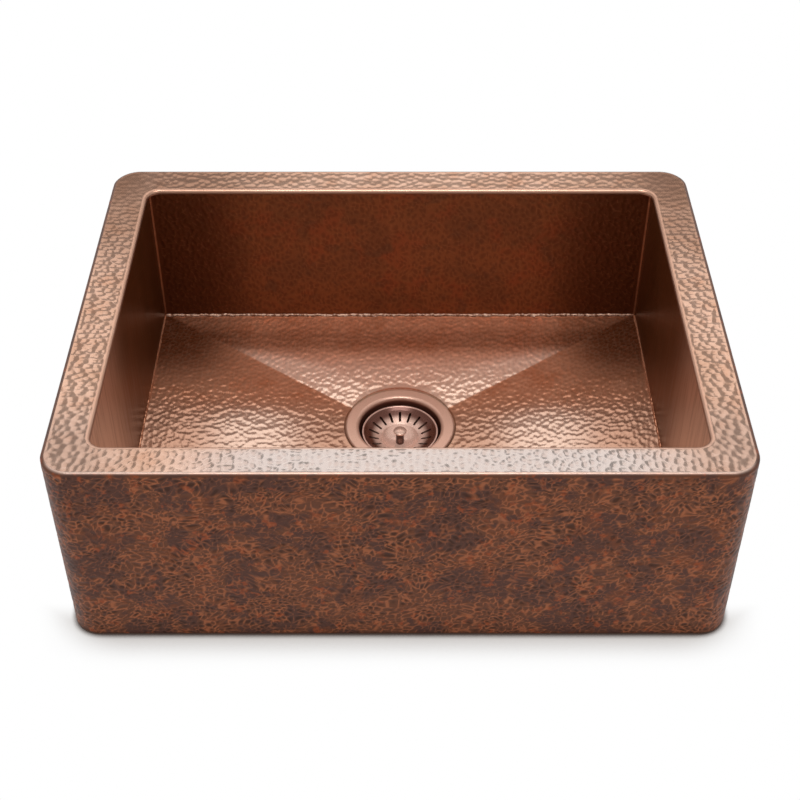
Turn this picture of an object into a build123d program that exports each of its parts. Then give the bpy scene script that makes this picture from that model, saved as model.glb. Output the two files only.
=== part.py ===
from build123d import *
import math
import os

os.makedirs("parts", exist_ok=True)

# Farmhouse apron front sink of copper sheet, with its basket strainer, in millimetres.
# Origin: centre of the drain outlet's lower end, on the drain's axis.
# +X to the right, +Y from the apron to the back, +Z up.

# Sink body
width = 610.0
depth = 466.0
height = 208.5
sheet = 1.3
front_y = -256.5
corner_r = 27.0
bead_r = 3.6
hem_r = 3.0
hem_width = 16.0

# Basin's mouth, measured on the lip's inner faces; the walls stand flush below it
mouth_x = 266.2
mouth_front = -221.5
mouth_back = 170.4
mouth_r = 14.0
lip_r = 3.3
lip_drop = 4.4
mitre_reach = 60.0

# Basin floor, with heights above the apron's lower edge
floor_edge = 41.0
floor_fall = 17.0
apex_y = -7.0
apex_share = 0.02
recess_r = 59.0
recess_height = 25.0
drain_hole_r = 45.5

# Seams and the spacer plates behind the skirt
seam_y = 140.0
strap_width = 30.0
strap_margin = 14.0
web_thick = 1.6
web_height = 60.0
web_bottom = 50.0
web_pitch = 180.0
side_web_pitch = 200.0

# Strainer body, with drops below the flange's top
flange_top = 61.0
flange_r = 57.0
flange_thick = 2.0
flange_round = 2.0
putty_thick = 1.5
putty_r = 56.5
throat_r = 4.0
bowl_r = 43.0
thread_r = 44.5
thread_drop = 26.0
seat_drop = 38.0
seat_r = 31.0
outlet_r = 19.5
spigot_r = 23.75
spigot_length = 20.0
hub_r = 8.0
hub_hole_r = 4.5
hub_height = 6.0
arm_width = 3.2
arm_height = 3.0
arm_drop = 39.4

# Rings that clamp the strainer under the floor
gasket_r = 54.0
gasket_thick = 3.0
washer_thick = 1.0
nut_r = 50.0
nut_height = 9.0
nut_lugs = 8
lug_width = 9.0
lug_reach = 3.5
thread_play = 0.05

# Basket
basket_r = 39.8
basket_drop = 8.0
basket_edge = 1.2
basket_sheet = 1.0
cone_r = 35.0
cone_drop = 10.5
dish_r = 20.0
dish_drop = 17.0
dish_flat_r = 6.0
dish_bottom = 24.3
slot_count = 18
slot_width = 2.6
slot_inner_r = 22.4
slot_outer_r = 33.4

# Knob, post, stopper and the clip that holds the post
knob_r = 7.0
knob_drop = 6.2
knob_head = 4.6
neck_r = 4.3
post_r = 3.0
post_thread_r = 2.0
post_end = 51.5
shoulder_r = 5.0
stopper_r = 27.0
stopper_drop = 33.7
stopper_thick = 4.0
stopper_washer_r = 13.0
stopper_washer_thick = 1.0
clip_r = 4.42
clip_bore_r = 3.06
clip_collar_r = 6.2
clip_collar_thick = 1.0
clip_length = 8.0
clip_gap = 0.3
post_nut_flats = 7.0
post_nut_height = 3.2

# Places worked out from the sizes above
back_y = front_y + depth
plan_y = (front_y + back_y) / 2
base = flange_top - flange_thick - putty_thick - recess_height
rim_top = base + height
wall_low = base + floor_edge
wall_high = rim_top - lip_drop
mouth_y = (mouth_front + mouth_back) / 2
mouth_length = mouth_back - mouth_front
mitre_in_x = mouth_x - mouth_r
mitre_out_x = mouth_x + mitre_reach
full_width = 2 * (mouth_x + sheet)
skirt_x = width / 2 - sheet
front_gap = mouth_front - sheet - (front_y + sheet)
side_gap = skirt_x - mouth_x - sheet
back_gap = back_y - sheet - (mouth_back + sheet)
recess_top = base + recess_height
recess_under = recess_top - sheet


def sink_plan(plane, inset):
    """Plan outline of the sink, drawn in from its outer faces."""
    with BuildSketch(plane) as plan:
        with Locations((0, plan_y)):
            RectangleRounded(width - 2 * inset, depth - 2 * inset, corner_r - inset)
    return plan.sketch


def mouth_plan(plane, grow):
    """Outline of the basin's mouth, let out on all sides."""
    with BuildSketch(plane) as plan:
        with Locations((0, mouth_y)):
            RectangleRounded(2 * (mouth_x + grow), mouth_length + 2 * grow, mouth_r + grow)
    return plan.sketch


def floor_funnel(edge_z):
    """Space between four facets that fall from a rectangle at this height to one low point."""
    with BuildPart() as funnel:
        with BuildSketch(Plane.XY.offset(edge_z)):
            with Locations((0, mouth_y)):
                Rectangle(2 * mouth_x, mouth_length)
        with BuildSketch(Plane.XY.offset(edge_z - floor_fall)):
            with Locations((0, apex_y)):
                Rectangle(2 * mouth_x * apex_share, mouth_length * apex_share)
        loft(ruled=True)
    return funnel.part


# The skirt is a rounded box of sheet, rolled over at the top and turned in at the bottom
with BuildPart() as skirt_outside:
    add(sink_plan(Plane.XY.offset(base), 0))
    extrude(amount=height)
    fillet(skirt_outside.edges().group_by(Axis.Z)[-1], bead_r)
    fillet(skirt_outside.edges().group_by(Axis.Z)[0], hem_r)

with BuildPart() as skirt_hollow:
    add(sink_plan(Plane.XY.offset(base + sheet), sheet))
    extrude(amount=height - 2 * sheet)
    fillet(skirt_hollow.edges().group_by(Axis.Z)[-1], bead_r - sheet)
    fillet(skirt_hollow.edges().group_by(Axis.Z)[0], hem_r - sheet)

with BuildPart() as skirt:
    add(skirt_outside.part)
    add(skirt_hollow.part, mode=Mode.SUBTRACT)
    add(sink_plan(Plane.XY.offset(rim_top - sheet), bead_r))
    extrude(amount=sheet, mode=Mode.SUBTRACT)
    add(sink_plan(Plane.XY.offset(base), hem_width))
    extrude(amount=sheet, mode=Mode.SUBTRACT)

# Apron and rear wrap meet edge to edge at a seam across each side
seam_plane = Plane(origin=(0, seam_y, 0), x_dir=(1, 0, 0), z_dir=(0, 1, 0))

with BuildPart() as apron_wrap:
    add(skirt.part)
    split(bisect_by=seam_plane, keep=Keep.BOTTOM)
apron_wrap.part.label = "apron_wrap"
export_step(apron_wrap.part, "parts/apron_wrap.step")

with BuildPart() as rear_wrap:
    add(skirt.part)
    split(bisect_by=seam_plane, keep=Keep.TOP)
rear_wrap.part.label = "rear_wrap"
export_step(rear_wrap.part, "parts/rear_wrap.step")

# Backing strips inside the skirt, one behind each seam
with BuildPart() as seam_strap_right:
    with BuildSketch(Plane.XY.offset(base + strap_margin)):
        with Locations((skirt_x - sheet / 2, seam_y)):
            Rectangle(sheet, strap_width)
    extrude(amount=height - 2 * strap_margin)
seam_strap_right.part.label = "seam_strap_right"
export_step(seam_strap_right.part, "parts/seam_strap_right.step")

with BuildPart() as seam_strap_left:
    mirror(seam_strap_right.part, about=Plane.YZ)
seam_strap_left.part.label = "seam_strap_left"
export_step(seam_strap_left.part, "parts/seam_strap_left.step")

# Rim: a flat plate whose inner edge rolls over and hangs as a short lip, mitred from four strips
with BuildPart() as under_rim:
    add(sink_plan(Plane.XY.offset(rim_top - lip_drop), 0))
    extrude(amount=lip_drop - sheet)
    add(mouth_plan(Plane.XY.offset(rim_top - lip_drop), sheet))
    extrude(amount=lip_drop - sheet, mode=Mode.SUBTRACT)
    inner_edge = under_rim.faces().sort_by(Axis.Z)[-1].inner_wires()[0]
    fillet(inner_edge.edges(), lip_r - sheet)

with BuildPart() as rim:
    add(sink_plan(Plane.XY.offset(rim_top - lip_drop), bead_r))
    extrude(amount=lip_drop)
    add(mouth_plan(Plane.XY.offset(rim_top - lip_drop), 0))
    extrude(amount=lip_drop, mode=Mode.SUBTRACT)
    inner_edge = rim.faces().sort_by(Axis.Z)[-1].inner_wires()[0]
    fillet(inner_edge.edges(), lip_r)
    add(under_rim.part, mode=Mode.SUBTRACT)

with BuildPart() as rim_front:
    add(rim.part)
    with BuildSketch(Plane.XY.offset(rim_top - lip_drop)):
        Polygon(
            (-mitre_in_x, mouth_front + mouth_r),
            (mitre_in_x, mouth_front + mouth_r),
            (mitre_out_x, mouth_front - mitre_reach),
            (-mitre_out_x, mouth_front - mitre_reach),
            align=None,
        )
    extrude(amount=lip_drop, mode=Mode.INTERSECT)
rim_front.part.label = "rim_front"
export_step(rim_front.part, "parts/rim_front.step")

with BuildPart() as rim_back:
    add(rim.part)
    with BuildSketch(Plane.XY.offset(rim_top - lip_drop)):
        Polygon(
            (-mitre_in_x, mouth_back - mouth_r),
            (mitre_in_x, mouth_back - mouth_r),
            (mitre_out_x, mouth_back + mitre_reach),
            (-mitre_out_x, mouth_back + mitre_reach),
            align=None,
        )
    extrude(amount=lip_drop, mode=Mode.INTERSECT)
rim_back.part.label = "rim_back"
export_step(rim_back.part, "parts/rim_back.step")

with BuildPart() as rim_right:
    add(rim.part)
    with BuildSketch(Plane.XY.offset(rim_top - lip_drop)):
        Polygon(
            (mitre_in_x, mouth_front + mouth_r),
            (mitre_out_x, mouth_front - mitre_reach),
            (mitre_out_x, mouth_back + mitre_reach),
            (mitre_in_x, mouth_back - mouth_r),
            align=None,
        )
    extrude(amount=lip_drop, mode=Mode.INTERSECT)
rim_right.part.label = "rim_right"
export_step(rim_right.part, "parts/rim_right.step")

with BuildPart() as rim_left:
    mirror(rim_right.part, about=Plane.YZ)
rim_left.part.label = "rim_left"
export_step(rim_left.part, "parts/rim_left.step")

# Basin walls: flat plates that stand on the floor's edge and meet in tight corners
with BuildPart() as basin_front_wall:
    with BuildSketch(Plane.XY.offset(wall_low)):
        with Locations((0, mouth_front - sheet / 2)):
            Rectangle(full_width, sheet)
    extrude(amount=wall_high - wall_low)
basin_front_wall.part.label = "basin_front_wall"
export_step(basin_front_wall.part, "parts/basin_front_wall.step")

with BuildPart() as basin_back_wall:
    with BuildSketch(Plane.XY.offset(wall_low)):
        with Locations((0, mouth_back + sheet / 2)):
            Rectangle(full_width, sheet)
    extrude(amount=wall_high - wall_low)
basin_back_wall.part.label = "basin_back_wall"
export_step(basin_back_wall.part, "parts/basin_back_wall.step")

with BuildPart() as basin_right_wall:
    with BuildSketch(Plane.XY.offset(wall_low)):
        with Locations((mouth_x + sheet / 2, mouth_y)):
            Rectangle(sheet, mouth_length)
    extrude(amount=wall_high - wall_low)
basin_right_wall.part.label = "basin_right_wall"
export_step(basin_right_wall.part, "parts/basin_right_wall.step")

with BuildPart() as basin_left_wall:
    mirror(basin_right_wall.part, about=Plane.YZ)
basin_left_wall.part.label = "basin_left_wall"
export_step(basin_left_wall.part, "parts/basin_left_wall.step")

# Floor: a flat edge under the walls, four facets, a stamped round recess and the drain hole
with BuildPart() as basin_floor:
    with BuildSketch(Plane.XY.offset(wall_low - sheet)):
        with Locations((0, mouth_y)):
            Rectangle(full_width, mouth_length + 2 * sheet)
    extrude(amount=sheet)
    add(floor_funnel(wall_low - sheet))
    with BuildSketch(Plane.XY.offset(recess_under)):
        Circle(recess_r + sheet)
    extrude(amount=wall_low - sheet - recess_under)
    add(floor_funnel(wall_low), mode=Mode.SUBTRACT)
    with BuildSketch(Plane.XY.offset(recess_top)):
        Circle(recess_r)
    extrude(amount=wall_low - recess_top, mode=Mode.SUBTRACT)
    with BuildSketch(Plane.XY.offset(base)):
        Circle(drain_hole_r)
    extrude(amount=recess_height, mode=Mode.SUBTRACT)
basin_floor.part.label = "basin_floor"
export_step(basin_floor.part, "parts/basin_floor.step")

# Spacer plates that hold the skirt off the basin walls
with BuildPart() as front_webs:
    with BuildSketch(Plane.XY.offset(base + web_bottom)):
        with Locations((0, mouth_front - sheet - front_gap / 2)):
            with GridLocations(web_pitch, 0, 3, 1):
                Rectangle(web_thick, front_gap)
    extrude(amount=web_height)
front_webs.part.label = "front_webs"
export_step(front_webs.part, "parts/front_webs.step")

with BuildPart() as side_webs:
    with BuildSketch(Plane.XY.offset(base + web_bottom)):
        with Locations((0, mouth_y)):
            with GridLocations(2 * skirt_x - side_gap, side_web_pitch, 2, 2):
                Rectangle(side_gap, web_thick)
    extrude(amount=web_height)
side_webs.part.label = "side_webs"
export_step(side_webs.part, "parts/side_webs.step")

with BuildPart() as rear_webs:
    with BuildSketch(Plane.XY.offset(base + web_bottom)):
        with Locations((0, mouth_back + sheet + back_gap / 2)):
            with GridLocations(web_pitch, 0, 3, 1):
                Rectangle(web_thick, back_gap)
    extrude(amount=web_height)
rear_webs.part.label = "rear_webs"
export_step(rear_webs.part, "parts/rear_webs.step")

# Strainer body: flange, bowl and spigot turned in one piece, with a cross spider in the outlet
flange_under = flange_top - flange_thick
seat_z = flange_top - seat_drop
thread_end = flange_top - thread_drop
arm_z = flange_top - arm_drop
arc_middle = 1 - math.sqrt(0.5)

with BuildPart() as strainer_body:
    with BuildSketch(Plane.XZ):
        with BuildLine():
            Polyline(
                (bowl_r, flange_top - throat_r),
                (bowl_r, thread_end),
                (seat_r, seat_z),
                (outlet_r, seat_z),
                (outlet_r, 0),
                (spigot_r, 0),
                (spigot_r, spigot_length),
                (seat_r + flange_thick, spigot_length),
                (thread_r, thread_end - putty_thick),
                (thread_r, flange_under),
                (flange_r, flange_under),
            )
            ThreePointArc(
                (flange_r, flange_under),
                (flange_r - flange_round * arc_middle, flange_top - flange_round * arc_middle),
                (flange_r - flange_round, flange_top),
            )
            Line((flange_r - flange_round, flange_top), (bowl_r + throat_r, flange_top))
            ThreePointArc(
                (bowl_r + throat_r, flange_top),
                (bowl_r + throat_r * arc_middle, flange_top - throat_r * arc_middle),
                (bowl_r, flange_top - throat_r),
            )
        make_face()
    revolve(axis=Axis.Z)
    with BuildSketch(Plane.XY.offset(arm_z - arm_height)):
        Rectangle(2 * outlet_r + arm_width, arm_width)
        Rectangle(arm_width, 2 * outlet_r + arm_width)
    extrude(amount=arm_height)
    with BuildSketch(Plane.XY.offset(arm_z - hub_height)):
        Circle(hub_r)
    extrude(amount=hub_height)
    with BuildSketch(Plane.XY.offset(arm_z - hub_height)):
        Circle(hub_hole_r)
    extrude(amount=hub_height, mode=Mode.SUBTRACT)
strainer_body.part.label = "strainer_body"
export_step(strainer_body.part, "parts/strainer_body.step")

with BuildPart() as flange_putty:
    with BuildSketch(Plane.XY.offset(recess_top)):
        Circle(putty_r)
        Circle(drain_hole_r, mode=Mode.SUBTRACT)
    extrude(amount=putty_thick)
flange_putty.part.label = "flange_putty"
export_step(flange_putty.part, "parts/flange_putty.step")

# Gasket, friction washer and lock nut, stacked downwards from the floor's underside
gasket_z = recess_under - gasket_thick
washer_z = gasket_z - washer_thick

with BuildPart() as rubber_gasket:
    with BuildSketch(Plane.XY.offset(gasket_z)):
        Circle(gasket_r)
        Circle(thread_r + thread_play, mode=Mode.SUBTRACT)
    extrude(amount=gasket_thick)
rubber_gasket.part.label = "rubber_gasket"
export_step(rubber_gasket.part, "parts/rubber_gasket.step")

with BuildPart() as friction_washer:
    with BuildSketch(Plane.XY.offset(washer_z)):
        Circle(gasket_r)
        Circle(thread_r + thread_play, mode=Mode.SUBTRACT)
    extrude(amount=washer_thick)
friction_washer.part.label = "friction_washer"
export_step(friction_washer.part, "parts/friction_washer.step")

with BuildPart() as lock_nut:
    with BuildSketch(Plane.XY.offset(washer_z - nut_height)):
        Circle(nut_r)
        with PolarLocations(nut_r, nut_lugs):
            Rectangle(2 * lug_reach, lug_width)
        Circle(thread_r + thread_play, mode=Mode.SUBTRACT)
    extrude(amount=nut_height)
lock_nut.part.label = "lock_nut"
export_step(lock_nut.part, "parts/lock_nut.step")

# Basket: a rim ring, a slotted cone and a dished middle, pressed from one sheet
rim_edge_z = flange_top - basket_drop
cone_z = flange_top - cone_drop
dish_z = flange_top - dish_drop
dish_low = flange_top - dish_bottom
dish_mid_r = (dish_r + dish_flat_r) / 2 + basket_sheet
dish_mid_z = (dish_z + dish_low) / 2 - basket_sheet

with BuildPart() as basket_cup:
    with BuildSketch(Plane.XZ):
        with BuildLine():
            Polyline(
                (basket_r, rim_edge_z),
                (basket_r - basket_edge, rim_edge_z),
                (cone_r, cone_z),
                (dish_r, dish_z),
            )
            ThreePointArc(
                (dish_r, dish_z),
                (dish_mid_r, dish_mid_z),
                (dish_flat_r, dish_low),
            )
            Polyline(
                (dish_flat_r, dish_low),
                (post_r, dish_low),
                (post_r, dish_low - basket_sheet),
                (dish_flat_r, dish_low - basket_sheet),
            )
            ThreePointArc(
                (dish_flat_r, dish_low - basket_sheet),
                (dish_mid_r + basket_sheet / 2, dish_mid_z - basket_sheet),
                (dish_r + basket_sheet / 2, dish_z - basket_sheet),
            )
            Polyline(
                (dish_r + basket_sheet / 2, dish_z - basket_sheet),
                (cone_r + basket_sheet / 2, cone_z - basket_sheet),
                (basket_r, rim_edge_z - 2 * basket_edge),
                (basket_r, rim_edge_z),
            )
        make_face()
    revolve(axis=Axis.Z)
    with BuildSketch(Plane.XY.offset(dish_low)):
        with PolarLocations((slot_inner_r + slot_outer_r) / 2, slot_count, start_angle=90):
            SlotOverall(slot_outer_r - slot_inner_r, slot_width)
    extrude(amount=dish_bottom, mode=Mode.SUBTRACT)
basket_cup.part.label = "basket_cup"
export_step(basket_cup.part, "parts/basket_cup.step")

# Knob screwed on the post's top, its neck standing in the dish
knob_z = flange_top - knob_drop
knob_edge_z = knob_z - knob_head / 4
knob_low_z = knob_z - knob_head
knob_round = knob_r / 8

with BuildPart() as basket_knob:
    with BuildSketch(Plane.XZ):
        with BuildLine():
            ThreePointArc(
                (0, knob_z),
                (knob_r / 2, knob_z - knob_head / 15),
                (knob_r - knob_round, knob_edge_z),
            )
            ThreePointArc(
                (knob_r - knob_round, knob_edge_z),
                (knob_r, knob_z - knob_head / 2),
                (knob_r - knob_round, knob_z - 3 * knob_head / 4),
            )
            Polyline(
                (knob_r - knob_round, knob_z - 3 * knob_head / 4),
                (neck_r, knob_low_z - basket_sheet),
                (neck_r, dish_low),
                (post_r, dish_low),
                (post_r, knob_low_z),
                (0, knob_low_z),
                (0, knob_z),
            )
        make_face()
    revolve(axis=Axis.Z)
basket_knob.part.label = "basket_knob"
export_step(basket_knob.part, "parts/basket_knob.step")

# Post: from the knob down through the basket, the stopper and the clip
stopper_top = flange_top - stopper_drop
stopper_low = stopper_top - stopper_thick
shoulder_z = stopper_top + stopper_washer_thick
clip_top = stopper_low - clip_gap
clip_bottom = clip_top - clip_collar_thick - clip_length
post_step_z = clip_bottom - clip_gap
post_low = flange_top - post_end

with BuildPart() as basket_post:
    with BuildSketch(Plane.XZ):
        with BuildLine():
            Polyline(
                (0, knob_low_z),
                (post_r, knob_low_z),
                (post_r, dish_low - basket_sheet),
                (shoulder_r, dish_low - basket_sheet),
                (shoulder_r, shoulder_z),
                (post_r, shoulder_z),
                (post_r, post_step_z),
                (post_thread_r, post_step_z),
                (post_thread_r, post_low),
                (0, post_low),
                close=True,
            )
        make_face()
    revolve(axis=Axis.Z)
basket_post.part.label = "basket_post"
export_step(basket_post.part, "parts/basket_post.step")

with BuildPart() as stopper_washer:
    with BuildSketch(Plane.XY.offset(stopper_top)):
        Circle(stopper_washer_r)
        Circle(post_r, mode=Mode.SUBTRACT)
    extrude(amount=stopper_washer_thick)
stopper_washer.part.label = "stopper_washer"
export_step(stopper_washer.part, "parts/stopper_washer.step")

with BuildPart() as stopper_rubber:
    with BuildSketch(Plane.XY.offset(stopper_low)):
        Circle(stopper_r)
        Circle(post_r, mode=Mode.SUBTRACT)
    extrude(amount=stopper_thick)
stopper_rubber.part.label = "stopper_rubber"
export_step(stopper_rubber.part, "parts/stopper_rubber.step")

with BuildPart() as spring_clip:
    with BuildSketch(Plane.XY.offset(clip_bottom)):
        Circle(clip_r)
    extrude(amount=clip_length)
    with BuildSketch(Plane.XY.offset(clip_bottom + clip_length)):
        Circle(clip_collar_r)
    extrude(amount=clip_collar_thick)
    with BuildSketch(Plane.XY.offset(clip_bottom)):
        Circle(clip_bore_r)
    extrude(amount=clip_length + clip_collar_thick, mode=Mode.SUBTRACT)
spring_clip.part.label = "spring_clip"
export_step(spring_clip.part, "parts/spring_clip.step")

with BuildPart() as post_nut:
    with BuildSketch(Plane.XY.offset(post_step_z - post_nut_height)):
        RegularPolygon(post_nut_flats / 2, 6, major_radius=False)
        Circle(post_thread_r, mode=Mode.SUBTRACT)
    extrude(amount=post_nut_height)
post_nut.part.label = "post_nut"
export_step(post_nut.part, "parts/post_nut.step")
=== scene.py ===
import math

import bmesh
import bpy
import numpy as np
from mathutils import Matrix, Vector


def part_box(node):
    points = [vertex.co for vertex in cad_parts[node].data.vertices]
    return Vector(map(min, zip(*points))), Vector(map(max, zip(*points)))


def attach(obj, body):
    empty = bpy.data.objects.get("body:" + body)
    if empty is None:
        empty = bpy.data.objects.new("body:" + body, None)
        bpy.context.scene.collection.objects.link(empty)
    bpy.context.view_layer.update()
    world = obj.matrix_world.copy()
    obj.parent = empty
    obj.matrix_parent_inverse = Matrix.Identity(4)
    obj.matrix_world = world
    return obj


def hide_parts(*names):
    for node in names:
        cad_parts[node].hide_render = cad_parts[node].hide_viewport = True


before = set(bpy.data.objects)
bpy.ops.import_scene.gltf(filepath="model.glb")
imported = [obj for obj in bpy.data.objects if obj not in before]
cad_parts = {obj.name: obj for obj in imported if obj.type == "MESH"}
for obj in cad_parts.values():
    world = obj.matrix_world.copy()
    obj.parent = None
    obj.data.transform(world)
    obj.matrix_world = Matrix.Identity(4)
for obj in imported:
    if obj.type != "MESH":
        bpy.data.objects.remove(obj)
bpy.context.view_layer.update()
mm = 0.001

apronLow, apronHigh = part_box("apron_wrap")
_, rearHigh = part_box("rear_wrap")
leftLow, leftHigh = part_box("basin_left_wall")
backLow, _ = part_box("basin_back_wall")
_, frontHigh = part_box("basin_front_wall")
_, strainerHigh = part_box("strainer_body")
_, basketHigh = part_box("basket_cup")
_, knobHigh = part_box("basket_knob")

# Places come from the CAD's boxes, and radii repeat the CAD's own
sink = {
    "halfWidth": apronHigh.x,
    "front": apronLow.y,
    "seam": apronHigh.y,
    "back": rearHigh.y,
    "base": apronLow.z,
    "top": apronHigh.z,
    "corner": 27 * mm,
    "bead": 3.6 * mm,       # roll between the skirt and the rim
    "hem": 3 * mm,
    "hemWidth": 16 * mm,
    "sheet": 1.3 * mm,
}
basin = {
    "halfWidth": -leftHigh.x,   # inner faces of the walls
    "front": frontHigh.y,
    "back": backLow.y,
    "floorEdge": leftLow.z,
    "wallTop": leftHigh.z,
    "corner": 2.5 * mm,         # welded and rounded where two walls meet
    "lip": 3.3 * mm,
    "lipDrop": 4.4 * mm,
    "mouthCorner": 14 * mm,
}


def say(words):
    print("stage:", words, flush=True)


def emptyTree(owner):
    owner.use_nodes = True
    owner.node_tree.nodes.clear()
    return owner.node_tree


def linkObject(name, data):
    made = bpy.data.objects.new(name, data)
    bpy.context.scene.collection.objects.link(made)
    return made


def meshFrom(bm, name):
    mesh = bpy.data.meshes.new(name)
    bm.to_mesh(mesh)
    bm.free()
    return mesh


# Colours and materials. How the grain of every finish moves its roughness and its bump:
grain = {"low": 0.3, "high": 0.7, "smoother": 0.04, "rougher": 0.06, "bump": 0.2 * mm, "noise": 0.6}


def colour(hexValue):
    # sRGB hex to linear red, green, blue, alpha
    parts = [int(hexValue[i:i + 2], 16) / 255 for i in (1, 3, 5)]
    return [p / 12.92 if p <= 0.04045 else ((p + 0.055) / 1.055) ** 2.4 for p in parts] + [1.0]


def addNode(tree, kind, inputs, **settings):
    # an input takes a plain value, a socket, or a node whose first live output is linked;
    # a Mix takes its share at 0 and its two ends at 2 and 3 for numbers, 6 and 7 for colours
    node = tree.nodes.new(kind)
    for key, value in settings.items():
        setattr(node, key, value)
    for key, value in inputs.items():
        if isinstance(value, bpy.types.Node):
            value = next(socket for socket in value.outputs if socket.enabled)
        if isinstance(value, bpy.types.NodeSocket):
            tree.links.new(value, node.inputs[key])
        else:
            node.inputs[key].default_value = value
    return node


def layeredFinish(name, look):
    # a base colour under layers, each laid on where a noise, a mark in the mesh or the height says
    material = bpy.data.materials.new(name)
    tree = emptyTree(material)
    coords = addNode(tree, "ShaderNodeTexCoord", {}).outputs["Object"]
    masks = {"height": addNode(tree, "ShaderNodeSeparateXYZ", {"Vector": coords}).outputs["Z"]}
    for label in look.get("marks", ()):
        masks[label] = addNode(tree, "ShaderNodeAttribute", {}, attribute_name=label).outputs["Fac"]
    for label, (size, detail, stretch) in look["noises"].items():
        place = addNode(tree, "ShaderNodeMapping", {"Vector": coords, "Scale": stretch})
        masks[label] = addNode(tree, "ShaderNodeTexNoise", {
            "Vector": place, "Scale": 1 / (size * mm), "Detail": detail, "Roughness": grain["noise"]})
    base = colour(look["base"])
    for label, low, high, share, tint in look["layers"]:
        part = addNode(tree, "ShaderNodeMapRange", {
            "Value": masks[label], "From Min": low, "From Max": high, "To Max": share},
            interpolation_type="SMOOTHSTEP")
        base = addNode(tree, "ShaderNodeMix", {0: part, 6: base, 7: colour(tint)}, data_type="RGBA")
    rough = addNode(tree, "ShaderNodeMapRange", {
        "Value": masks["grain"], "From Min": grain["low"], "From Max": grain["high"],
        "To Min": look["roughness"] - grain["smoother"], "To Max": look["roughness"] + grain["rougher"]})
    bump = addNode(tree, "ShaderNodeBump", {
        "Height": masks["grain"], "Strength": look["grainStrength"], "Distance": grain["bump"]})
    shader = addNode(tree, "ShaderNodeBsdfPrincipled", {
        "Base Color": base, "Metallic": look["metallic"], "Roughness": rough, "Normal": bump})
    if "gloss" in look:
        shader.inputs["Specular IOR Level"].default_value = look["gloss"]
    if "polish" in look:   # a mark with a roughness of its own
        label, value = look["polish"]
        smooth = addNode(tree, "ShaderNodeMix", {0: masks[label], 2: rough, 3: value})
        tree.links.new(smooth.outputs[0], shader.inputs["Roughness"])
    addNode(tree, "ShaderNodeOutputMaterial", {"Surface": shader})
    return material


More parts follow.
